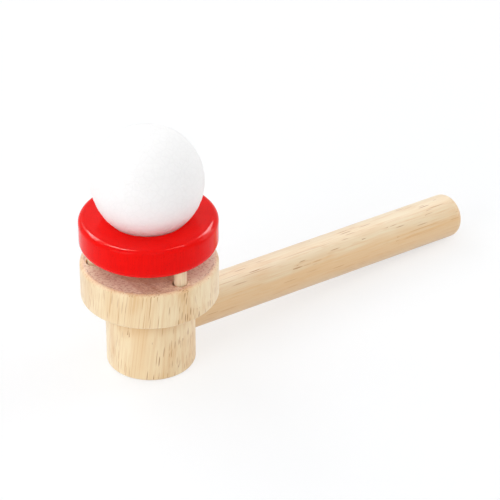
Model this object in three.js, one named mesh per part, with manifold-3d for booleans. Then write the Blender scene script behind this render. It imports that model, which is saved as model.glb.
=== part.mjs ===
// Blow ball pipe toy: a turned wooden head on a blow stem, with a red ring on three posts and a foam ball.
// Millimetres, +Z up. The origin is the centre of the foot's underside, and the stem runs towards +X.
// Breath blown into the stem's mouth end comes up through the head and lifts the ball off the ring.

import * as THREE from 'three';
import { mergeVertices } from 'three/addons/utils/BufferGeometryUtils.js';
import Module from 'manifold-3d';

// Head: a foot to stand on and a wider disc, turned from one piece of wood
const headDiameter = 42.7;
const footDiameter = 27.8;
const footHeight = 24.0;
const discThickness = 12.2;
const footEdgeRound = 1.1;
const discEdgeRound = 0.9;

// Stem: a bored dowel, rounded over at the mouth end
const stemDiameter = 14.45;
const stemLength = 122.8; // from the head's axis to the mouth end, measured along the stem
const mouthLip = 0.4; // flat ring left at the mouth end, between its outer and its inner rounding
const boreEdgeRound = 0.7;
const stemEndChamfer = 0.6;
const socketRoof = 2.8; // wood between the stem and the disc's underside, at the head's axis
const mouthLift = 0.1; // from the mouth end's lowest point down to the surface that the toy stands on

// Air way: the stem's bore and the hole up through the disc are drilled with one bit
const airHoleDiameter = 6.0;
const chamberMargin = 0.6; // from the air hole's side to the stem's inner end

// Ring: painted wood, as wide as the disc, which holds the ball
const ringBore = 23.9;
const ringThickness = 9.9;
const ringGap = 5.4; // open height between the disc and the ring
const ringEdgeRound = 1.7;
const boreRound = 0.8;

// Posts: short dowels, glued into blind holes in the disc and in the ring
const postCount = 3;
const postDiameter = 4.0;
const postTurn = -1.6; // angle from the stem's direction to the first post, in radians
const postWallShare = 0.52; // where the posts stand across the ring's wall, counted from its bore
const postHoleShare = 0.45; // depth of a post's hole, in the thickness that it is drilled into
const postChamfer = 0.35;

// Ball: expanded foam, loose on the ring
const ballDiameter = 34.5;

// Clearances, and the overrun of a cutting shape past the surface that it opens
const glueGap = 0.3;
const seatGap = 0.2;
const cutOverrun = 1.0;

// Flats that stand for the round surfaces
const headSides = 64;
const stemSides = 40;
const postSides = 20;
const holeSides = 24;
const ballSides = 44;
const ballRows = 26;
const arcSteps = 4;

// Sizes and heights that follow from the ones above
const headRadius = headDiameter / 2;
const footRadius = footDiameter / 2;
const headHeight = footHeight + discThickness;
const stemRadius = stemDiameter / 2;
const airRadius = airHoleDiameter / 2;
const mouthRound = stemRadius - airRadius - boreEdgeRound - mouthLip;
const stemAxisHeight = footHeight - socketRoof - stemRadius;
const ringBottom = headHeight + ringGap;
const ringTop = ringBottom + ringThickness;
const boreRadius = ringBore / 2;
const postRadius = postDiameter / 2;
const postCircle = boreRadius + (headRadius - boreRadius) * postWallShare;
const headHoleFloor = headHeight - discThickness * postHoleShare;
const ringHoleRoof = ringBottom + ringThickness * postHoleShare;
const ballRadius = ballDiameter / 2;

// The stem slopes down just enough for the lowest point of its mouth end to reach the standing surface.
// That point lies straight below the centre of the end's lower rounding, `reach` along the stem's axis
// and `drop` under it.
function stemSlope() {
  const reach = stemLength - mouthRound;
  const drop = stemRadius - mouthRound;
  const fall = stemAxisHeight - mouthRound - mouthLift;
  return Math.asin(fall / Math.hypot(reach, drop)) - Math.atan2(drop, reach);
}

// The height of the ball's centre, with the ball `seatGap` off the rounded edge of the ring's bore.
function ballHeight() {
  const fromEdge = ballRadius + seatGap + boreRound;
  return ringTop - boreRound + Math.sqrt(fromEdge ** 2 - (boreRadius + boreRound) ** 2);
}

// Joining and cutting
const wasm = await Module();
wasm.setup();

function solid(geometry) {
  const bare = geometry.clone();
  bare.deleteAttribute('normal');
  bare.deleteAttribute('uv');
  const merged = mergeVertices(bare);
  return new wasm.Manifold(new wasm.Mesh({
    numProp: 3,
    vertProperties: new Float32Array(merged.attributes.position.array),
    triVerts: new Uint32Array(merged.index.array),
  }));
}

function cut(body, tools) {
  const mesh = tools.reduce((left, tool) => left.subtract(solid(tool)), solid(body)).getMesh();
  const geometry = new THREE.BufferGeometry();
  geometry.setAttribute('position', new THREE.BufferAttribute(mesh.vertProperties, mesh.numProp));
  geometry.setIndex(new THREE.BufferAttribute(mesh.triVerts, 1));
  geometry.computeVertexNormals();
  return geometry;
}

// Turned and drilled shapes
function point(radius, height) {
  return new THREE.Vector2(radius, height);
}

// A quarter round of a turned profile about a centre, from the angle `start` on, anticlockwise.
function quarterRound(radius, height, round, start) {
  return Array.from({ length: arcSteps + 1 }, (_, i) => {
    const angle = start + (Math.PI / 2) * (i / arcSteps);
    return point(radius + round * Math.cos(angle), height + round * Math.sin(angle));
  });
}

// The profile runs up the outside, and its radii are turned about +Z.
function turned(profile, sides) {
  return new THREE.LatheGeometry(profile, sides).rotateX(Math.PI / 2);
}

function drill(radius, from, to, sides) {
  return new THREE.CylinderGeometry(radius, radius, to - from, sides)
    .rotateX(Math.PI / 2)
    .translate(0, 0, (from + to) / 2);
}

function postPlaces() {
  return Array.from({ length: postCount }, (_, i) => {
    const angle = postTurn + (i * 2 * Math.PI) / postCount;
    return new THREE.Vector3(postCircle * Math.cos(angle), postCircle * Math.sin(angle), 0);
  });
}

function postHoles(from, to) {
  return postPlaces().map((place) => (
    drill(postRadius + glueGap, from, to, holeSides).translate(place.x, place.y, place.z)
  ));
}

// The stem is turned about its own +Z, which runs from the head's axis to the mouth end.
function stemFrame() {
  const tilt = new THREE.Matrix4().makeRotationY(Math.PI / 2 + stemSlope());
  return new THREE.Matrix4().makeTranslation(0, 0, stemAxisHeight).multiply(tilt);
}

// The head, with the stem's socket from the side, the air hole from above and the posts' holes.
// The socket reaches past the air hole, so the two meet in a chamber that the stem's end leaves open.
function makeHead() {
  const profile = [
    point(0, 0),
    ...quarterRound(footRadius - footEdgeRound, footEdgeRound, footEdgeRound, -Math.PI / 2),
    point(footRadius, footHeight),
    ...quarterRound(headRadius - discEdgeRound, footHeight + discEdgeRound, discEdgeRound, -Math.PI / 2),
    ...quarterRound(headRadius - discEdgeRound, headHeight - discEdgeRound, discEdgeRound, 0),
    point(0, headHeight),
  ];
  const socket = drill(stemRadius + glueGap, -airRadius, headRadius + cutOverrun, stemSides);
  return cut(turned(profile, headSides), [
    socket.applyMatrix4(stemFrame()),
    drill(airRadius, stemAxisHeight, headHeight + cutOverrun, holeSides),
    ...postHoles(headHoleFloor, headHeight + cutOverrun),
  ]);
}

function makeStem() {
  const innerEnd = airRadius + chamberMargin;
  const profile = [
    point(airRadius, innerEnd),
    point(stemRadius - stemEndChamfer, innerEnd),
    point(stemRadius, innerEnd + stemEndChamfer),
    ...quarterRound(stemRadius - mouthRound, stemLength - mouthRound, mouthRound, 0),
    ...quarterRound(airRadius + boreEdgeRound, stemLength - boreEdgeRound, boreEdgeRound, Math.PI / 2),
    point(airRadius, innerEnd),
  ];
  return turned(profile, stemSides);
}

function makeRing() {
  const outer = headRadius - ringEdgeRound;
  const inner = boreRadius + boreRound;
  const profile = [
    ...quarterRound(outer, ringBottom + ringEdgeRound, ringEdgeRound, -Math.PI / 2),
    ...quarterRound(outer, ringTop - ringEdgeRound, ringEdgeRound, 0),
    ...quarterRound(inner, ringTop - boreRound, boreRound, Math.PI / 2),
    ...quarterRound(inner, ringBottom + boreRound, boreRound, Math.PI),
    point(outer, ringBottom),
  ];
  return cut(turned(profile, headSides), postHoles(ringBottom - cutOverrun, ringHoleRoof));
}

function makePost() {
  const low = headHoleFloor + glueGap;
  const high = ringHoleRoof - glueGap;
  const profile = [
    point(0, low),
    point(postRadius - postChamfer, low),
    point(postRadius, low + postChamfer),
    point(postRadius, high - postChamfer),
    point(postRadius - postChamfer, high),
    point(0, high),
  ];
  return turned(profile, postSides);
}

function makeBall() {
  return new THREE.SphereGeometry(ballRadius, ballSides, ballRows).rotateX(Math.PI / 2);
}

// Finishes
const bareWood = new THREE.MeshStandardMaterial({ color: 0xe7cfa3, roughness: 0.6, metalness: 0 });
const redPaint = new THREE.MeshStandardMaterial({ color: 0xe0201a, roughness: 0.35, metalness: 0 });
const whiteFoam = new THREE.MeshStandardMaterial({ color: 0xf7f7f6, roughness: 0.85, metalness: 0 });

// Assembly
const toy = new THREE.Group();

function add(name, geometry, material) {
  const mesh = new THREE.Mesh(geometry, material);
  mesh.name = name;
  toy.add(mesh);
  return mesh;
}

add('head', makeHead(), bareWood);
add('stem', makeStem(), bareWood).applyMatrix4(stemFrame());
add('catch_ring', makeRing(), redPaint);
postPlaces().forEach((place, i) => {
  add(`post_${i + 1}`, makePost(), bareWood).position.copy(place);
});
add('ball', makeBall(), whiteFoam).position.set(0, 0, ballHeight());

export default toy;
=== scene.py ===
import math

import bmesh
import bpy
from mathutils import Matrix, Vector, noise


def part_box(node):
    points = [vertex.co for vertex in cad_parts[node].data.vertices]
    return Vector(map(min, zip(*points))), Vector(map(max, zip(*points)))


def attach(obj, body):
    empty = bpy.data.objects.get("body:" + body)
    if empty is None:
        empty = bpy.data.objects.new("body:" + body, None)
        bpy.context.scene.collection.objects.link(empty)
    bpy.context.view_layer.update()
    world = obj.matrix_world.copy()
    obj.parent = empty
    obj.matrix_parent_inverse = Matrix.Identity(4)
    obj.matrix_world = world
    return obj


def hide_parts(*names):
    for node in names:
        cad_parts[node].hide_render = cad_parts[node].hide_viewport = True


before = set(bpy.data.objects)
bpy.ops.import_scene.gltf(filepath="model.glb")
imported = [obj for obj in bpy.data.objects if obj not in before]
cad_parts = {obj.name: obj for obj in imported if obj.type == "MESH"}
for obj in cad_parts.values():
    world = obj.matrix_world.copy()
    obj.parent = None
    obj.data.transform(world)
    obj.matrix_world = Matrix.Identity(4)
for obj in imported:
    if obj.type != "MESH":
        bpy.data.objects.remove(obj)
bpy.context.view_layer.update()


# View
# The photograph's camera: a long lens, raised, with the stem running away to the right.
# The place on the head's axis at AIM_HEIGHT shows at AIM_PIXEL, at VIEW_DEPTH from the lens.
# Lengths are in metres, unless a name or a comment says millimetres.
PHOTO_SIZE = 500
AIM_PIXEL = (150.2, 302.6)
AIM_HEIGHT = 0.020
VIEW_AZIMUTH = math.radians(-37.29)
VIEW_ELEVATION = math.radians(32.06)
VIEW_DEPTH = 0.8561
LENS_MM = 200.0
SENSOR_MM = 36.0

to_right = Vector((math.cos(VIEW_AZIMUTH), math.sin(VIEW_AZIMUTH), 0))
to_front = Vector((math.sin(VIEW_AZIMUTH), -math.cos(VIEW_AZIMUTH), 0))
to_lens = to_front * math.cos(VIEW_ELEVATION) + Vector((0, 0, math.sin(VIEW_ELEVATION)))
lens_up = to_lens.cross(to_right)

pixel = VIEW_DEPTH * SENSOR_MM / (LENS_MM * PHOTO_SIZE)
aim = Vector((0, 0, AIM_HEIGHT))
aim -= to_right * (AIM_PIXEL[0] - PHOTO_SIZE / 2) * pixel
aim += lens_up * (AIM_PIXEL[1] - PHOTO_SIZE / 2) * pixel


def put_in(name, data):
    """A new object in the scene, at the origin."""
    made = bpy.data.objects.new(name, data)
    bpy.context.scene.collection.objects.link(made)
    return made


camera = put_in("camera", bpy.data.cameras.new("camera"))
camera.data.lens = LENS_MM
camera.data.sensor_width = SENSOR_MM
camera.location = aim + to_lens * VIEW_DEPTH
camera.rotation_euler = Matrix((to_right, lens_up, to_lens)).transposed().to_euler()
bpy.context.scene.camera = camera
bpy.context.scene.view_settings.view_transform = "Standard"


# Floor
# A pale studio sweep. The lens and mirrored light see it as glowing white paper with a grey part,
# which the toy's soft shadow takes away. To all other light it is plain white card, which sends
# light back up.
FLOOR_REACH = 6.0
WHITE = (1, 1, 1, 1)
CARD_WHITE = (0.90, 0.90, 0.90, 1)
PAPER_GREY = (0.3724, 0.38, 0.3895, 1)
PAPER_GLOW = 0.64


def add_node(tree, kind, settings=None, **inputs):
    """A shader or geometry node. An input is called by its name, or by _ and its number."""
    made = tree.nodes.new(kind)
    for key, value in (settings or {}).items():
        setattr(made, key, value)
    for key, value in inputs.items():
        socket = made.inputs[int(key[1:])] if key[0] == "_" else made.inputs[key.replace("_", " ")]
        if isinstance(value, bpy.types.NodeSocket):
            tree.links.new(value, socket)
        else:
            socket.default_value = value
    return made


def calc(tree, operation, *values):
    """A step of arithmetic on numbers and on other nodes' outputs."""
    inputs = {f"_{i}": value for i, value in enumerate(values)}
    return add_node(tree, "ShaderNodeMath", {"operation": operation}, **inputs).outputs[0]


def any_ray(tree, *kinds):
    """1 on rays of any of these kinds, and 0 on all others."""
    rays = add_node(tree, "ShaderNodeLightPath")
    found = 0.0
    for kind in kinds:
        found = calc(tree, "MAXIMUM", found, rays.outputs[kind])
    return found


def new_material(name):
    """An empty node material, its tree and its output node."""
    material = bpy.data.materials.new(name)
    material.use_nodes = True
    tree = material.node_tree
    tree.nodes.clear()
    return material, tree, tree.nodes.new("ShaderNodeOutputMaterial")


floor_material, tree, output = new_material("floor")
card = add_node(tree, "ShaderNodeBsdfDiffuse", Color=CARD_WHITE)
shaded = add_node(tree, "ShaderNodeBsdfDiffuse", Color=PAPER_GREY)
glow = add_node(tree, "ShaderNodeEmission", Color=WHITE, Strength=PAPER_GLOW)
paper = add_node(tree, "ShaderNodeAddShader", _0=shaded.outputs[0], _1=glow.outputs[0])
seen = any_ray(tree, "Is Camera Ray", "Is Glossy Ray")
mixed = add_node(tree, "ShaderNodeMixShader", _0=seen, _1=card.outputs[0], _2=paper.outputs[0])
tree.links.new(mixed.outputs[0], output.inputs["Surface"])

floor_mesh = bpy.data.meshes.new("floor")
corners = [(x * FLOOR_REACH, y * FLOOR_REACH, 0) for x, y in ((-1, -1), (1, -1), (1, 1), (-1, 1))]
floor_mesh.from_pydata(corners, [], [(0, 1, 2, 3)])
floor_mesh.materials.append(floor_material)
floor = put_in("floor", floor_mesh)


# Light
# An even white surround and five soft boxes, of which the left front one and the right back one
# are the brightest. Together they light the toy about as brightly as its colours are written.
SURROUND = 0.58
SOFT_BOXES = (
    # name, (right, front, up) shares of its direction, distance, width, brightness where it points
    ("left_box", (-0.60, -0.10, 0.79), 0.90, 0.40, 0.09),
    ("left_front_box", (-0.60, 0.65, 0.45), 1.00, 0.50, 0.285),
    ("front_box", (0.10, 0.70, 0.71), 1.20, 0.60, 0.06),
    ("right_back_box", (0.85, -0.35, 0.40), 1.00, 0.50, 0.245),
    ("back_left_box", (-0.45, -0.60, 0.66), 1.00, 0.40, 0.14),
)
# Narrow boxes over the toy's back. They only draw the bright line along the ring's upper edge.
SHINE_DISTANCE = 1.0
SHINE_BOXES = (
    # name, (right, front, up) shares of its direction, (width, height), brightness of its front
    ("shine_left", (-0.46, -0.52, 0.72), (0.80, 0.16), 18.0),
    ("shine_middle", (-0.20, -0.30, 0.93), (0.40, 0.32), 50.0),
    ("shine_small", (0.20, -0.30, 0.93), (0.20, 0.22), 26.0),
    ("shine_right", (0.34, -0.66, 0.67), (0.64, 0.16), 18.0),
)

# The lens and mirrored light see the surround as white. The toy is lit by less of it.
world = bpy.data.worlds.new("surround")
world.use_nodes = True
tree = world.node_tree
tree.nodes.clear()
seen = any_ray(tree, "Is Camera Ray", "Is Glossy Ray", "Is Transmission Ray")
strength = add_node(tree, "ShaderNodeMapRange", Value=seen, To_Min=SURROUND, To_Max=1.0)
sky = add_node(tree, "ShaderNodeBackground", Color=WHITE, Strength=strength.outputs[0])
add_node(tree, "ShaderNodeOutputWorld", Surface=sky.outputs[0])
bpy.context.scene.world = world


def add_soft_box(name, direction, distance, size, energy):
    """A lamp with a plain rectangular front that faces the toy from (right, front, up)."""
    lamp = bpy.data.lights.new(name, "AREA")
    lamp.shape = "RECTANGLE"
    lamp.size, lamp.size_y = size
    lamp.energy = energy
    right, front, high = direction
    away = (to_right * right + to_front * front + Vector((0, 0, high))).normalized()
    across = Vector((0, 0, 1)).cross(away).normalized()
    soft_box = put_in(name, lamp)
    soft_box.location = away * distance
    soft_box.rotation_euler = Matrix((across, away.cross(across), away)).transposed().to_euler()
    return soft_box


# A soft box has the energy that lights a white surface at the origin, facing it, to the brightness.
for name, direction, distance, width, brightness in SOFT_BOXES:
    energy = brightness * (math.pi * distance) ** 2
    add_soft_box(name, direction, distance, (width, width), energy)

# A shine box has the energy that makes its own front that bright.
for name, direction, size, brightness in SHINE_BOXES:
    energy = brightness * math.pi * size[0] * size[1]
    shine_box = add_soft_box(name, direction, SHINE_DISTANCE, size, energy)
    shine_box.visible_diffuse = False


# Head
# One block of pale rubberwood, turned to a foot and a wider disc, sanded and left with a thin wax.
# It is drilled from the side for the stem, from above for the air and the three posts.
DISC_UNDERSIDE = 0.0240
FOOT_RADIUS = 0.0139
FOOT_ROUND = 0.0011
DISC_LOWER_ROUND = 0.0009
DISC_UPPER_ROUND = 0.0012
ROUND_STEPS = 8
HEAD_SIDES = 256
SKIN_STEP = 0.0012
ON_AXIS = 0.0000001
HEAD_WEAR = (0.00008, 0.006, 3.0)  # depth of the wear, width of its patches, and where they start
AIR_HOLE_RADIUS = 0.0030
POST_HOLE_RADIUS = 0.0023
POST_HOLE_DEPTH = 0.0054
HOLE_SIDES = 64
HOLE_FLARE = 0.0002
HOLE_DRIFT = 0.00017
CUTTER_OVERRUN = 0.0008
SLIVER = 0.000003
SHARP_ANGLE = math.radians(35)
head_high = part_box("head")[1]
disc_radius = head_high.x
disc_top = head_high.z
post_places = [sum(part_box(f"post_{n}"), Vector()) / 2 for n in (1, 2, 3)]


def rounded_corner(radius, height, size, start, steps=ROUND_STEPS):
    """Points of a profile's corner at (radius, height), rounded anticlockwise from the angle start."""
    middle = start + math.pi / 4
    centre_radius = radius - math.copysign(size, math.cos(middle))
    centre_height = height - math.copysign(size, math.sin(middle))
    angles = [start + math.pi / 2 * i / steps for i in range(steps + 1)]
    return [(centre_radius + size * math.cos(a), centre_height + size * math.sin(a)) for a in angles]


def filled(points, step):
    """The same profile with points added along its straight stretches, at most step apart."""
    result = [points[0]]
    for (r0, z0), (r1, z1) in zip(points, points[1:]):
        count = max(1, math.ceil(math.hypot(r1 - r0, z1 - z0) / step))
        result += [(r0 + (r1 - r0) * i / count, z0 + (z1 - z0) * i / count)
                   for i in range(1, count + 1)]
    return result


def turned(name, profile, sides, closed=False):
    """A mesh turned about +Z, from (radius, height) points that run up the outside."""
    turns = [2 * math.pi * i / sides for i in range(sides)]
    shell = bmesh.new()
    rings = []
    for radius, height in profile:
        spots = turns if radius > ON_AXIS else turns[:1]
        rings.append([shell.verts.new((radius * math.cos(a), radius * math.sin(a), height))
                      for a in spots])
    following = rings[1:] + rings[:1] if closed else rings[1:]
    for low, high in zip(rings, following):
        for i in range(sides):
            j = (i + 1) % sides
            corners = (low[i % len(low)], low[j % len(low)], high[j % len(high)], high[i % len(high)])
            shell.faces.new(dict.fromkeys(corners))
    mesh = bpy.data.meshes.new(name)
    shell.to_mesh(mesh)
    shell.free()
    return mesh


def hand_worn(mesh, depth, patch, start):
    """Draws the surface in by up to depth, in soft patches, as sanding and hands leave it."""
    shift = Vector((start, 0, 0))
    normals = [v.normal.copy() for v in mesh.vertices]
    for vertex, normal in zip(mesh.vertices, normals):
        share = 0.5 + 0.5 * noise.noise(vertex.co / patch + shift)
        vertex.co -= normal * depth * share


def drill_bit(radius, low, high):
    """A cutter for a round hole that opens at high, with a slightly flared mouth there."""
    return turned("bit", [
        (0, low), (radius, low), (radius, high - HOLE_FLARE), (radius + HOLE_FLARE, high),
        (radius + HOLE_FLARE, high + CUTTER_OVERRUN), (0, high + CUTTER_OVERRUN)], HOLE_SIDES)


def drilled(mesh, bits):
    """The mesh with each bit taken out of it, and the slivers along the cuts merged away."""
    body = put_in("drilled", mesh)
    tools = [put_in("tool", bit) for bit in bits]
    for tool in tools:
        cut = body.modifiers.new("cut", "BOOLEAN")
        cut.operation = "DIFFERENCE"
        cut.solver = "EXACT"
        cut.object = tool
    cut_mesh = bpy.data.meshes.new_from_object(
        body.evaluated_get(bpy.context.evaluated_depsgraph_get()))
    for spare in (body, *tools):
        bpy.data.objects.remove(spare)
    shell = bmesh.new()
    shell.from_mesh(cut_mesh)
    bmesh.ops.remove_doubles(shell, verts=shell.verts, dist=SLIVER)
    bmesh.ops.dissolve_degenerate(shell, edges=shell.edges, dist=SLIVER)
    shell.to_mesh(cut_mesh)
    shell.free()
    return cut_mesh


def add_piece(name, mesh, material, body, slot, *stands_for):
    """A finished piece at the origin, smooth but for its real edges, with its material in its mesh.
    Its slot is not used.
    """
    mesh.name = name
    mesh.materials.clear()
    mesh.materials.append(material)
    for face in mesh.polygons:
        face.use_smooth = True
    mesh.set_sharp_from_angle(angle=SHARP_ANGLE)
    piece = put_in(name, mesh)
    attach(piece, body)
    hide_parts(*stands_for)


# The stem's axis, for the head's socket here and for the stem below: it slopes down from the head's
# axis until the rounding of the mouth end comes down to the stem's lowest point.
STEM_RADIUS = 0.007225
STEM_AXIS_HEIGHT = 0.013975
STEM_LENGTH = 0.1228
BORE_RADIUS = 0.0030
BORE_ROUND = 0.0007
MOUTH_LIP = 0.0004
SOCKET_REACH = 0.0030
SOCKET_GAP = 0.0001
stem_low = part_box("stem")[0]
mouth_round = STEM_RADIUS - BORE_RADIUS - BORE_ROUND - MOUTH_LIP
reach = STEM_LENGTH - mouth_round
drop = STEM_RADIUS - mouth_round
fall = STEM_AXIS_HEIGHT - mouth_round - stem_low.z
stem_slope = math.asin(fall / math.hypot(reach, drop)) - math.atan2(drop, reach)
stem_turn = Matrix.Rotation(math.pi / 2 + stem_slope, 4, "Y")
stem_frame = Matrix.Translation((0, 0, STEM_AXIS_HEIGHT)) @ stem_turn

head_profile = filled([
    (0, 0),
    *rounded_corner(FOOT_RADIUS, 0, FOOT_ROUND, -math.pi / 2),
    (FOOT_RADIUS, DISC_UNDERSIDE),
    *rounded_corner(disc_radius, DISC_UNDERSIDE, DISC_LOWER_ROUND, -math.pi / 2),
    *rounded_corner(disc_radius, disc_top, DISC_UPPER_ROUND, 0),
    (0, disc_top)], SKIN_STEP)
head_mesh = turned("head", head_profile, HEAD_SIDES)
hand_worn(head_mesh, *HEAD_WEAR)

socket_bit = drill_bit(STEM_RADIUS + SOCKET_GAP, -SOCKET_REACH, disc_radius)
socket_bit.transform(stem_frame)
bits = [socket_bit, drill_bit(AIR_HOLE_RADIUS, STEM_AXIS_HEIGHT, disc_top)]
# The posts' holes lie a little to the front and left of the posts, which leaves a thin dark gap.
drift = (to_front - to_right) * HOLE_DRIFT
for place in post_places:
    bit = drill_bit(POST_HOLE_RADIUS, disc_top - POST_HOLE_DEPTH, disc_top)
    bit.transform(Matrix.Translation(Vector((place.x, place.y, 0)) + drift))
    bits.append(bit)
head_mesh = drilled(head_mesh, bits)

# Rubberwood, for every bare wooden piece: fibre streaks, growth rings about a far pith with rays
# across them, and open pores that show as short brown dashes along the grain and as dots on its end.
# Lengths are in millimetres.
NOISE_ROUGHNESS = 0.55
RING_WOBBLE = 3.0
LATE_WOOD_POWER = 6.0
LINES_IN_BANDS = 0.70
PORES_IN_CROWDS = 0.45
LONG_PORE_DEPTH = 0.8
LINE_DEPTH = 0.55
DASH_CORE = 0.6
FAINTEST_DASH = 0.55
PORE_HEIGHT = -0.02
STREAK_HEIGHT = -0.06


def new_group(name, kind, inputs, outputs):
    """A node group with its named inputs and outputs, and the two nodes that stand for them in it."""
    group = bpy.data.node_groups.new(name, kind)
    for in_out, sockets in (("INPUT", inputs), ("OUTPUT", outputs)):
        for socket_name, socket_kind, *start in sockets:
            made = group.interface.new_socket(name=socket_name, in_out=in_out, socket_type=socket_kind)
            if start:
                made.default_value = start[0]
    return group, group.nodes.new("NodeGroupInput"), group.nodes.new("NodeGroupOutput")


def product(tree, first, *others):
    """The numbers multiplied with each other."""
    for other in others:
        first = calc(tree, "MULTIPLY", first, other)
    return first


def one_less(tree, share):
    """What a share leaves of 1."""
    return calc(tree, "SUBTRACT", 1.0, share)


def between(tree, share, first, second):
    """A number that goes from the first to the second by the share."""
    return calc(tree, "MULTIPLY_ADD", share, second - first, first)


def ramp(tree, value, low, high):
    """A soft step from 0 to 1, as the value goes from low to high."""
    return add_node(tree, "ShaderNodeMapRange", {"interpolation_type": "SMOOTHSTEP"}, Value=value,
                    From_Min=low, From_Max=high).outputs[0]


def part_of(tree, vector, axis):
    """A vector's part along X, Y or Z."""
    return add_node(tree, "ShaderNodeSeparateXYZ", Vector=vector).outputs[axis]


def stretched(tree, vector, scales):
    """A vector with each of its parts multiplied by the scale for it."""
    return add_node(tree, "ShaderNodeVectorMath", {"operation": "MULTIPLY"},
                    _0=vector, _1=scales).outputs[0]


def off_axis(tree, vector):
    """How far a place is from the Z axis."""
    return add_node(tree, "ShaderNodeVectorMath", {"operation": "LENGTH"},
                    _0=stretched(tree, vector, (1.0, 1.0, 0.0))).outputs["Value"]


def drawn_noise(tree, vector, scales, detail=0.0):
    """Noise drawn out along an axis. Its scales are in blotches per millimetre along X, Y and Z."""
    return add_node(tree, "ShaderNodeTexNoise", Vector=stretched(tree, vector, scales), Scale=1.0,
                    Detail=detail, Roughness=NOISE_ROUGHNESS).outputs[0]


def patchy(tree, vector, scales, edge, detail=0.0):
    """Patches of a drawn-out noise. Their soft edges lie between the edge's two levels of it."""
    return ramp(tree, drawn_noise(tree, vector, scales, detail), *edge)


def dashes(tree, vector, scales, width, kept):
    """Short straight dashes along the grain, one in each kept cell of a drawn-out pattern."""
    cells = add_node(tree, "ShaderNodeTexVoronoi", Vector=stretched(tree, vector, scales), Scale=1.0)
    lot = add_node(tree, "ShaderNodeSeparateColor", Color=cells.outputs["Color"])
    inside = one_less(tree, ramp(tree, cells.outputs["Distance"], width * DASH_CORE, width))
    held = calc(tree, "LESS_THAN", lot.outputs[0], kept)
    return product(tree, inside, held, between(tree, lot.outputs[1], FAINTEST_DASH, 1.0))


def tinted(tree, colour, tint, mask, strength=1.0):
    """The colour, taken to the tint as far as the mask and the strength say."""
    return add_node(tree, "ShaderNodeMix", {"data_type": "RGBA"},
                    _0=product(tree, mask, strength), _6=colour, _7=tint).outputs[2]


wood, group_in, group_out = new_group(
    "rubberwood", "ShaderNodeTree",
    (("Vector", "NodeSocketVector"),
     ("Pith", "NodeSocketVector", (160.9, 0.0, 0.0)),
     ("Ring Spacing", "NodeSocketFloat", 7.0),
     ("Pale", "NodeSocketColor", (0.95, 0.775, 0.505, 1)),
     ("Tan", "NodeSocketColor", (0.78, 0.50, 0.235, 1)),
     ("Pore", "NodeSocketColor", (0.38, 0.11, 0.0, 1)),
     ("Streaks", "NodeSocketFloat", 0.7),
     ("Lines", "NodeSocketFloat", 0.15),
     ("Flecks", "NodeSocketFloat", 0.10),
     ("Scatter", "NodeSocketFloat", 0.08),
     ("Pores", "NodeSocketFloat", 0.7),
     ("Rings", "NodeSocketFloat", 0.25),
     ("Rays", "NodeSocketFloat", 0.0)),
    (("Color", "NodeSocketColor"), ("Height", "NodeSocketFloat")))

grain = group_in.outputs["Vector"]
patches = patchy(wood, grain, (0.11, 0.11, 0.014), (0.36, 0.66), 1)
wide_streaks = patchy(wood, grain, (0.50, 0.50, 0.012), (0.46, 0.68), 1)
fine_streaks = patchy(wood, grain, (1.9, 1.9, 0.016), (0.50, 0.60), 1)
flecks = patchy(wood, grain, (1.3, 1.3, 0.16), (0.52, 0.70), 1)
rays = patchy(wood, grain, (0.22, 3.0, 0.35), (0.48, 0.66), 1)
crowds = patchy(wood, grain, (0.14, 0.14, 0.070), (0.42, 0.60))
bands = patchy(wood, grain, (0.25, 0.25, 0.010), (0.42, 0.60))

from_pith = add_node(wood, "ShaderNodeVectorMath", {"operation": "SUBTRACT"},
                     _0=grain, _1=group_in.outputs["Pith"]).outputs[0]
wobble = drawn_noise(wood, grain, (0.10, 0.10, 0.020))
ring_reach = calc(wood, "MULTIPLY_ADD", wobble, RING_WOBBLE, off_axis(wood, from_pith))
year = calc(wood, "FRACT", calc(wood, "DIVIDE", ring_reach, group_in.outputs["Ring Spacing"]))
late_wood = calc(wood, "POWER", year, LATE_WOOD_POWER)

kept = calc(wood, "MULTIPLY_ADD", bands, LINES_IN_BANDS, group_in.outputs["Lines"])
fine_lines = dashes(wood, grain, (2.2, 2.2, 0.035), 0.32, kept)
kept = calc(wood, "MULTIPLY_ADD", crowds, PORES_IN_CROWDS, group_in.outputs["Scatter"])
long_pores = dashes(wood, grain, (1.3, 1.3, 0.06), 0.24, kept)
short_pores = dashes(wood, grain, (1.7, 1.7, 0.11), 0.32, kept)
pores = calc(wood, "MAXIMUM", product(wood, long_pores, LONG_PORE_DEPTH), short_pores)

tone = 0.0
for layer, share in (
        (patches, 0.25), (wide_streaks, 0.35), (crowds, 0.30), (fine_streaks, 0.30),
        (fine_lines, 0.75), (flecks, group_in.outputs["Flecks"])):
    tone = calc(wood, "MULTIPLY_ADD", layer, share, tone)
tone = product(wood, tone, group_in.outputs["Streaks"])
tone = calc(wood, "MULTIPLY_ADD", late_wood, group_in.outputs["Rings"], tone)
tone = product(wood, tone, one_less(wood, product(wood, rays, group_in.outputs["Rays"])))
colour = tinted(wood, group_in.outputs["Pale"], group_in.outputs["Tan"], tone)
darkest = calc(wood, "MAXIMUM", pores, product(wood, fine_lines, LINE_DEPTH))
colour = tinted(wood, colour, group_in.outputs["Pore"], darkest, group_in.outputs["Pores"])
height = product(wood, fine_streaks, STREAK_HEIGHT)
height = calc(wood, "MULTIPLY_ADD", pores, PORE_HEIGHT, height)
wood.links.new(colour, group_out.inputs["Color"])
wood.links.new(height, group_out.inputs["Height"])
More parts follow.
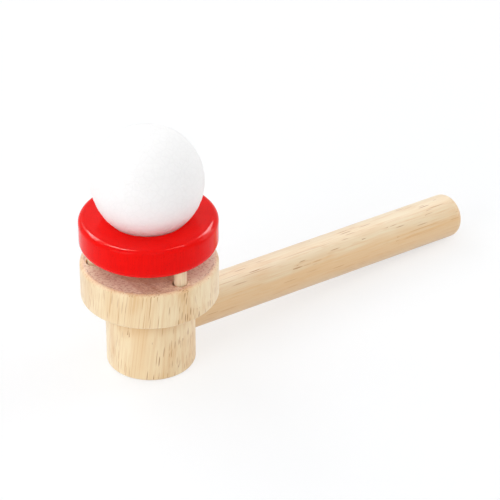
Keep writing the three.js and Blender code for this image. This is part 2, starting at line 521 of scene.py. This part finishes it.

# The head's own wood, in millimetres. Its grain leans a little to the right and the front. On the
# end grain the half towards the stem and a strip across from it are creamy, partly the wood's own
# pale grain and partly painted light on the disc top under the ring, and a broken brown line runs
# round the rim.
MM = 1000.0
HEAD_START = 1164.7
GRAIN_RIGHT = 0.11
GRAIN_FRONT = 0.02
END_PALE = (0.93, 0.76, 0.53, 1)
END_TAN = (0.66, 0.39, 0.20, 1)
END_PORE = (0.40, 0.20, 0.12, 1)
HATCH_BROWN = (0.52, 0.26, 0.13, 1)
VESSEL_BROWN = (0.50, 0.26, 0.13, 1)
CREAM_AND_LIGHT = (0.99, 0.89, 0.67, 1)
RIM_BROWN = (0.40, 0.22, 0.10, 1)
# The tan of the painted shade on the foot's top, under the disc.
CORNER_SHADE_TAN = (0.74, 0.46, 0.21, 1)
END_FACING = (0.80, 0.97)
RIM_START = 19.7
RIM_END = 20.6
RIM_RAGGED = 1.4
RIM_LINE_HALF = 0.14
STRIP_EDGE = (-12.6, -13.4)
CREAM_EDGE = (-4.0, 9.0)
CREAM_RAGGED = 12.0
CORNER_EDGE = (15.5, 20.0)
CORNER_REACH = 14.2


def grain_in(tree, turn, start=0.0):
    """The piece's own coordinates in millimetres, turned so that the grain runs along their +Z.

    The start tells how far up the board the piece was cut.
    """
    coordinates = add_node(tree, "ShaderNodeTexCoord")
    grain = add_node(tree, "ShaderNodeMapping", {"vector_type": "POINT"},
                     Vector=coordinates.outputs["Object"], Location=(0, 0, start), Rotation=turn,
                     Scale=(MM, MM, MM))
    return coordinates, grain.outputs[0]


def wood_in(tree, grain, **inputs):
    """The rubberwood group in a material, with the material's own values."""
    return add_node(tree, "ShaderNodeGroup", {"node_tree": wood}, Vector=grain, **inputs)


def finish(tree, output, colour, relief, strength, depth, **values):
    """The piece's surface, with its colour, its fine relief and the shader's own values."""
    bump = add_node(tree, "ShaderNodeBump", Strength=strength, Distance=depth, Height=relief)
    surface = add_node(tree, "ShaderNodeBsdfPrincipled", Base_Color=colour, Normal=bump.outputs[0],
                       **values)
    tree.links.new(surface.outputs[0], output.inputs["Surface"])


def waxed(tree, output, colour, relief, roughness):
    """Sanded wood under a thin wax, with the soft sheen of its fibres."""
    finish(tree, output, colour, relief, 0.25, 0.0002, Roughness=roughness,
           Specular_IOR_Level=0.35, Sheen_Weight=0.50, Sheen_Roughness=0.5)


head_material, tree, output = new_material("head_rubberwood")
lean = to_right * GRAIN_RIGHT + to_front * GRAIN_FRONT
coordinates, grain = grain_in(tree, (lean.y, -lean.x, 0), HEAD_START)
here = stretched(tree, coordinates.outputs["Object"], (MM, MM, MM))
along_stem = part_of(tree, here, "X")
from_axis = off_axis(tree, here)
upright = part_of(tree, coordinates.outputs["Normal"], "Z")
wander = calc(tree, "SUBTRACT", drawn_noise(tree, grain, (0.9, 0.9, 0.9), 2), 0.5)
strip = ramp(tree, along_stem, *STRIP_EDGE)
creamy_and_lit = ramp(tree, calc(tree, "MULTIPLY_ADD", wander, CREAM_RAGGED, along_stem), *CREAM_EDGE)

side_wood = wood_in(tree, grain, Streaks=0.80, Scatter=0.05,
                    Lines=between(tree, strip, 0.15, 0.70), Pores=between(tree, strip, 0.85, 0.40))
end_wood = wood_in(tree, grain, Pale=END_PALE, Tan=END_TAN, Pore=END_PORE,
                   Streaks=0.7, Pores=0.5, Rings=1.0, Rays=0.7)
hatch = patchy(tree, grain, (2.4, 0.45, 0.10), (0.50, 0.62), 1)
hatch = product(tree, hatch, one_less(tree, creamy_and_lit))
vessels = patchy(tree, grain, (1.2, 1.2, 0.3), (0.46, 0.62), 2)
# Partly painted light: the creamy zones also lighten the disc top where the ring shades it.
cream_and_light = calc(tree, "MULTIPLY_ADD", strip, 0.75, product(tree, creamy_and_lit, 0.95))
end_colour = tinted(tree, end_wood.outputs["Color"], HATCH_BROWN, hatch, 0.30)
end_colour = tinted(tree, end_colour, VESSEL_BROWN, vessels, 0.40)
end_colour = tinted(tree, end_colour, CREAM_AND_LIGHT, cream_and_light, between(tree, vessels, 1.0, 0.3))

ragged = calc(tree, "MULTIPLY_ADD", wander, RIM_RAGGED, from_axis)
end_grain = product(tree, ramp(tree, calc(tree, "ABSOLUTE", upright), *END_FACING),
                    one_less(tree, ramp(tree, ragged, RIM_START, RIM_END)))
colour = tinted(tree, side_wood.outputs["Color"], end_colour, end_grain)
off_line = calc(tree, "ABSOLUTE", calc(tree, "SUBTRACT", ragged, RIM_START + RIM_LINE_HALF))
rim_line = product(tree, one_less(tree, ramp(tree, off_line, 0.0, RIM_LINE_HALF)),
                   patchy(tree, grain, (0.12, 0.12, 0.12), (0.48, 0.60)),
                   ramp(tree, upright, *END_FACING))
colour = tinted(tree, colour, RIM_BROWN, rim_line, 0.7)

# Painted shade: the top of the foot, under the disc, is darkened towards tan.
corner_shade = product(tree, ramp(tree, part_of(tree, here, "Z"), *CORNER_EDGE),
                 calc(tree, "LESS_THAN", from_axis, CORNER_REACH))
colour = tinted(tree, colour, CORNER_SHADE_TAN, corner_shade, 0.45)
waxed(tree, output, colour, side_wood.outputs["Height"], 0.52)

add_piece("turned_head", head_mesh, head_material, "toy", "rubberwood", "head")


# Stem
# A straight rubberwood dowel with a bore right through it, glued into the foot's side.
# Its mouth end is rounded over and sanded, for the lips.
STEM_INNER_END = 0.0036
STEM_CHAMFER = 0.0006
MOUTH_STEPS = 12
STEM_SIDES = 128
STEM_SKIN_STEP = 0.0016
STEM_WEAR = (0.00008, 0.012, 7.0)
STEM_START = 1471.2
STEM_PITH = (-45.0, 60.0, 0.0)
STEM_PALE = (0.88, 0.73, 0.50, 1)
STEM_TAN = (0.77, 0.51, 0.26, 1)
UNDERSIDE_SHADE_TAN = (0.83, 0.52, 0.245, 1)
MOUTH_TAN = (0.80, 0.49, 0.22, 1)
UNDERSIDE_SHADE_EDGE = (0.90 * STEM_RADIUS, 0.25 * STEM_RADIUS)
MOUTH_FACING = (0.15, 0.75)
MOUTH_RAGGED = 0.8

stem_profile = filled([
    (BORE_RADIUS, STEM_INNER_END),
    (STEM_RADIUS - STEM_CHAMFER, STEM_INNER_END),
    (STEM_RADIUS, STEM_INNER_END + STEM_CHAMFER),
    *rounded_corner(STEM_RADIUS, STEM_LENGTH, mouth_round, 0, MOUTH_STEPS),
    *rounded_corner(BORE_RADIUS, STEM_LENGTH, BORE_ROUND, math.pi / 2),
    (BORE_RADIUS, STEM_INNER_END)], STEM_SKIN_STEP)[:-1]
stem_mesh = turned("stem", stem_profile, STEM_SIDES, closed=True)
hand_worn(stem_mesh, *STEM_WEAR)
stem_mesh.transform(stem_frame)

# The dowel's lower part is darkened towards tan as painted shade, and the end grain of its
# mouth end is darker too.
stem_material, tree, output = new_material("stem_rubberwood")
coordinates, grain = grain_in(tree, (0, -(math.pi / 2 + stem_slope), 0), STEM_START)
stem_wood = wood_in(tree, grain, Pale=STEM_PALE, Tan=STEM_TAN, Pith=STEM_PITH, Ring_Spacing=5.0,
                    Streaks=0.65, Lines=0.05, Flecks=0.45, Scatter=0.02, Pores=0.75, Rings=0.15)
here = coordinates.outputs["Object"]
wander = calc(tree, "SUBTRACT", drawn_noise(tree, grain, (0.7, 0.7, 0.06), 1), 0.5)
above = calc(tree, "MULTIPLY_ADD", part_of(tree, here, "X"), math.tan(stem_slope),
             part_of(tree, here, "Z"))
above = calc(tree, "SUBTRACT", above, STEM_AXIS_HEIGHT)
above = calc(tree, "MULTIPLY_ADD", wander, STEM_RADIUS, above)
# Painted shade: the lower side of the dowel is darkened towards tan.
colour = tinted(tree, stem_wood.outputs["Color"], UNDERSIDE_SHADE_TAN,
                ramp(tree, above, *UNDERSIDE_SHADE_EDGE), 0.60)
outward = part_of(tree, coordinates.outputs["Normal"], "X")
end_grain = ramp(tree, calc(tree, "MULTIPLY_ADD", wander, MOUTH_RAGGED, outward), *MOUTH_FACING)
colour = tinted(tree, colour, MOUTH_TAN, end_grain, 0.5)
waxed(tree, output, colour, stem_wood.outputs["Height"], 0.55)

add_piece("blow_stem", stem_mesh, stem_material, "toy", "rubberwood_stem", "stem")


# Posts
# Three short pale dowels, glued into blind holes in the disc below and in the ring above.
# They are one turned shape, set out evenly round the head's axis.
POST_SIDES = 48
POST_ROWS = 24
POST_END_ROWS = 3
POST_PALE = (0.95, 0.80, 0.56, 1)
RIPPLES_PER_METRE = 350.0
post_low, post_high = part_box("post_1")
post_circle = math.hypot(post_places[0].x, post_places[0].y)


def drawn_in(tree, geometry, depth):
    """The geometry with its surface moved inwards by the depth."""
    outward = add_node(tree, "GeometryNodeInputNormal")
    offset = add_node(tree, "ShaderNodeVectorMath", {"operation": "SCALE"},
                      _0=outward.outputs[0], Scale=product(tree, depth, -1.0))
    return add_node(tree, "GeometryNodeSetPosition", Geometry=geometry,
                    Offset=offset.outputs[0]).outputs[0]


def grown(name, tree, material):
    """The plain mesh that a geometry tree makes with its own sizes and this material."""
    seed = put_in(name, bpy.data.meshes.new(name))
    maker = seed.modifiers.new("maker", "NODES")
    maker.node_group = tree
    for item in tree.interface.items_tree:
        if item.in_out == "INPUT" and item.name == "Material":
            maker[item.identifier] = material
    mesh = bpy.data.meshes.new_from_object(
        seed.evaluated_get(bpy.context.evaluated_depsgraph_get()))
    bpy.data.objects.remove(seed)
    return mesh


posts_tree, group_in, group_out = new_group(
    "posts", "GeometryNodeTree",
    (("Count", "NodeSocketInt", 3),
     ("Circle", "NodeSocketFloat", post_circle),
     ("First Turn", "NodeSocketFloat", math.atan2(post_places[0].y, post_places[0].x)),
     ("Post Radius", "NodeSocketFloat", (post_high.x - post_low.x) / 2),
     ("Low End", "NodeSocketFloat", post_low.z),
     ("High End", "NodeSocketFloat", post_high.z),
     ("Unevenness", "NodeSocketFloat", 0.00005),
     ("Material", "NodeSocketMaterial")),
    (("Geometry", "NodeSocketGeometry"),))

middle = calc(posts_tree, "ADD", group_in.outputs["Low End"], group_in.outputs["High End"])
lift = add_node(posts_tree, "ShaderNodeCombineXYZ", Z=product(posts_tree, middle, 0.5))
spin = add_node(posts_tree, "ShaderNodeCombineXYZ", Z=group_in.outputs["First Turn"])
spots = add_node(posts_tree, "GeometryNodeMeshCircle", Vertices=group_in.outputs["Count"],
                 Radius=group_in.outputs["Circle"])
spots = add_node(posts_tree, "GeometryNodeTransform", Geometry=spots.outputs[0],
                 Rotation=spin.outputs[0], Translation=lift.outputs[0])
length = calc(posts_tree, "SUBTRACT", group_in.outputs["High End"], group_in.outputs["Low End"])
dowel = add_node(posts_tree, "GeometryNodeMeshCylinder", Vertices=POST_SIDES,
                 Side_Segments=POST_ROWS, Fill_Segments=POST_END_ROWS,
                 Radius=group_in.outputs["Post Radius"], Depth=length)
set_out = add_node(posts_tree, "GeometryNodeInstanceOnPoints", Points=spots.outputs[0],
                   Instance=dowel.outputs[0])
real_posts = add_node(posts_tree, "GeometryNodeRealizeInstances", Geometry=set_out.outputs[0])
spot = add_node(posts_tree, "GeometryNodeInputPosition").outputs[0]
ripple = add_node(posts_tree, "ShaderNodeTexNoise", Vector=spot, Scale=RIPPLES_PER_METRE).outputs[0]
uneven = drawn_in(posts_tree, real_posts.outputs[0],
                  product(posts_tree, ripple, group_in.outputs["Unevenness"]))
dressed = add_node(posts_tree, "GeometryNodeSetMaterial", Geometry=uneven,
                   Material=group_in.outputs["Material"])
posts_tree.links.new(dressed.outputs[0], group_out.inputs["Geometry"])

post_material, tree, output = new_material("post_wood")
grain = grain_in(tree, (0, 0, 0))[1]
post_grain = wood_in(tree, grain, Pale=POST_PALE, Streaks=0.5, Pores=0.3, Rings=0.0)
waxed(tree, output, post_grain.outputs["Color"], post_grain.outputs["Height"], 0.5)

posts_mesh = grown("posts", posts_tree, post_material)
add_piece("posts", posts_mesh, post_material, "toy", "post_wood", "post_1", "post_2", "post_3")


# Ring
# A turned wooden ring under glossy bright red paint, thin enough for the wood's streaks to show a
# little. It stands on the three posts, and the ball sits in its bore.
RING_BORE = 0.01195
RING_UPPER_EDGE = 0.0017
RING_LOWER_EDGE = 0.0022
BORE_EDGE = 0.0004
RING_SIDES = 256
RING_WEAR = (0.00005, 0.007, 11.0)
POST_SOCKET_RADIUS = 0.00208
POST_SOCKET_DEPTH = 0.00445
RED = (0.91, 0.0025, 0.001, 1)
THIN_RED = (0.86, 0.002, 0.001, 1)
SPECK_RED = (0.45, 0.002, 0.001, 1)
SHADED_UNDERSIDE_RED = (0.45, 0.004, 0.002, 1)
ring_low, ring_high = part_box("catch_ring")
ring_radius = ring_high.x

ring_profile = filled([
    *rounded_corner(ring_radius, ring_low.z, RING_LOWER_EDGE, -math.pi / 2),
    *rounded_corner(ring_radius, ring_high.z, RING_UPPER_EDGE, 0),
    *rounded_corner(RING_BORE, ring_high.z, BORE_EDGE, math.pi / 2),
    *rounded_corner(RING_BORE, ring_low.z, BORE_EDGE, math.pi),
    (ring_radius - RING_LOWER_EDGE, ring_low.z)], SKIN_STEP)[:-1]
ring_mesh = turned("catch_ring", ring_profile, RING_SIDES, closed=True)
hand_worn(ring_mesh, *RING_WEAR)
upwards = Matrix.Rotation(math.pi, 4, "X")
bits = []
for place in post_places:
    bit = drill_bit(POST_SOCKET_RADIUS, -POST_SOCKET_DEPTH, 0)
    bit.transform(Matrix.Translation((place.x, place.y, ring_low.z)) @ upwards)
    bits.append(bit)
ring_mesh = drilled(ring_mesh, bits)

ring_material, tree, output = new_material("red_paint")
coordinates, grain = grain_in(tree, (0, 0, 0))
skin = add_node(tree, "ShaderNodeTexNoise", Vector=grain, Scale=0.7, Detail=1.0).outputs[0]
streaks = drawn_noise(tree, grain, (2.2, 2.2, 0.12), 2)
blotches = drawn_noise(tree, grain, (0.25, 0.25, 0.25), 2)
specks = patchy(tree, grain, (2.2, 2.2, 1.6), (0.68, 0.76))
thin = calc(tree, "MULTIPLY_ADD", streaks, 0.6, product(tree, blotches, 0.4))
upright = part_of(tree, coordinates.outputs["Normal"], "Z")
colour = tinted(tree, RED, THIN_RED, ramp(tree, thin, 0.40, 0.62))
colour = tinted(tree, colour, SPECK_RED, specks, 0.20)
# Painted shade: the ring's underside is darkened, which also dims the red light it throws on the disc.
colour = tinted(tree, colour, SHADED_UNDERSIDE_RED, ramp(tree, upright, -0.85, -0.97), 0.35)
relief = calc(tree, "MULTIPLY_ADD", streaks, 0.15, skin)
finish(tree, output, colour, relief, 0.20, 0.0002, Roughness=0.07, Specular_IOR_Level=0.08)

add_piece("red_ring", ring_mesh, ring_material, "toy", "red_paint", "catch_ring")


# Ball
# A light ball of moulded polystyrene foam: fused white beads with fine grooves between them and
# a few soft dents. It lies loose in the ring and rises on the air.
BEAD = 0.0022
GROOVE_DEPTH = 0.00006
DENT_DEPTH = 0.00012
DENTS_PER_METRE = 160.0
GROOVE_EDGE = (0.16, 0.0)
DENT_EDGE = (0.55, 0.80)
BALL_FINENESS = 7
FOAM_WHITE = (0.98, 0.98, 0.975, 1)
GROOVE_SHADE_GREY = (0.82, 0.82, 0.83, 1)
CREASE_SHADE_GREY = (0.72, 0.66, 0.65, 1)
GROOVE_SHADE_EDGE = (0.12, 0.0)
CREASES_PER_METRE = 330.0
CREASE_HALF = 0.035
CREASED_PATCHES_PER_METRE = 110.0
CREASED_EDGE = (0.40, 0.58)
GRIT_PER_METRE = 1500.0
UNDERSIDE_EDGE = (-0.004, -0.010)
LIGHT_REACH = 0.016
ball_low, ball_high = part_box("ball")
ball_centre = (ball_low + ball_high) / 2

ball_tree, group_in, group_out = new_group(
    "foam_ball", "GeometryNodeTree",
    (("Radius", "NodeSocketFloat", (ball_high.x - ball_low.x) / 2),
     ("Centre", "NodeSocketVector", ball_centre),
     ("Bead", "NodeSocketFloat", BEAD),
     ("Groove Depth", "NodeSocketFloat", GROOVE_DEPTH),
     ("Dent Depth", "NodeSocketFloat", DENT_DEPTH),
     ("Material", "NodeSocketMaterial")),
    (("Geometry", "NodeSocketGeometry"),))

sphere = add_node(ball_tree, "GeometryNodeMeshIcoSphere", Radius=group_in.outputs["Radius"],
                  Subdivisions=BALL_FINENESS)
spot = add_node(ball_tree, "GeometryNodeInputPosition").outputs[0]
beads = add_node(ball_tree, "ShaderNodeTexVoronoi", {"feature": "DISTANCE_TO_EDGE"}, Vector=spot,
                 Scale=calc(ball_tree, "DIVIDE", 1.0, group_in.outputs["Bead"]))
dents = add_node(ball_tree, "ShaderNodeTexNoise", Vector=spot, Scale=DENTS_PER_METRE, Detail=1.0)
groove = ramp(ball_tree, beads.outputs["Distance"], *GROOVE_EDGE)
dent = ramp(ball_tree, dents.outputs[0], *DENT_EDGE)
depth = product(ball_tree, groove, group_in.outputs["Groove Depth"])
depth = calc(ball_tree, "MULTIPLY_ADD", dent, group_in.outputs["Dent Depth"], depth)
lifted = add_node(ball_tree, "GeometryNodeTransform", Translation=group_in.outputs["Centre"],
                  Geometry=drawn_in(ball_tree, sphere.outputs[0], depth))
real_ball = add_node(ball_tree, "GeometryNodeRealizeInstances", Geometry=lifted.outputs[0])
dressed = add_node(ball_tree, "GeometryNodeSetMaterial", Geometry=real_ball.outputs[0],
                   Material=group_in.outputs["Material"])
ball_tree.links.new(dressed.outputs[0], group_out.inputs["Geometry"])

# The colour's grooves lie in the mesh's. Here and there the skin has fine creases, which are deeper
# on the ball's underside and greyed there as painted shade.
foam_material, tree, output = new_material("white_foam")
coordinates = add_node(tree, "ShaderNodeTexCoord")
centred = add_node(tree, "ShaderNodeMapping", Vector=coordinates.outputs["Object"],
                   Location=tuple(-ball_centre)).outputs[0]
beads = add_node(tree, "ShaderNodeTexVoronoi", {"feature": "DISTANCE_TO_EDGE"},
                 Vector=centred, Scale=1 / BEAD)
# Painted shade: the grooves between the beads are greyed.
groove = ramp(tree, beads.outputs["Distance"], *GROOVE_SHADE_EDGE)
colour = tinted(tree, FOAM_WHITE, GROOVE_SHADE_GREY, groove, 0.15)
grit = add_node(tree, "ShaderNodeTexNoise", Vector=centred, Scale=GRIT_PER_METRE, Detail=2.0)
folds = add_node(tree, "ShaderNodeTexNoise", Vector=centred, Scale=CREASES_PER_METRE,
                 Detail=1.5, Distortion=0.6)
off_fold = calc(tree, "ABSOLUTE", calc(tree, "SUBTRACT", folds.outputs[0], 0.5))
creased = add_node(tree, "ShaderNodeTexNoise", Vector=centred, Scale=CREASED_PATCHES_PER_METRE)
crease = product(tree, one_less(tree, ramp(tree, off_fold, 0.0, CREASE_HALF)),
                 ramp(tree, creased.outputs[0], *CREASED_EDGE))
under = ramp(tree, part_of(tree, centred, "Z"), *UNDERSIDE_EDGE)
# Painted shade: the creases on the ball's underside are greyed.
colour = tinted(tree, colour, CREASE_SHADE_GREY, product(tree, crease, under), 0.45)
relief = product(tree, one_less(tree, crease), between(tree, under, 0.4, 1.5))
relief = calc(tree, "MULTIPLY_ADD", grit.outputs[0], 0.5, relief)
finish(tree, output, colour, relief, 0.6, 0.0003, Roughness=0.75, Specular_IOR_Level=0.2,
       Subsurface_Weight=1.0, Subsurface_Radius=(1, 1, 1), Subsurface_Scale=LIGHT_REACH)

ball_mesh = grown("foam_ball", ball_tree, foam_material)
add_piece("foam_ball", ball_mesh, foam_material, "ball", "white_foam", "ball")
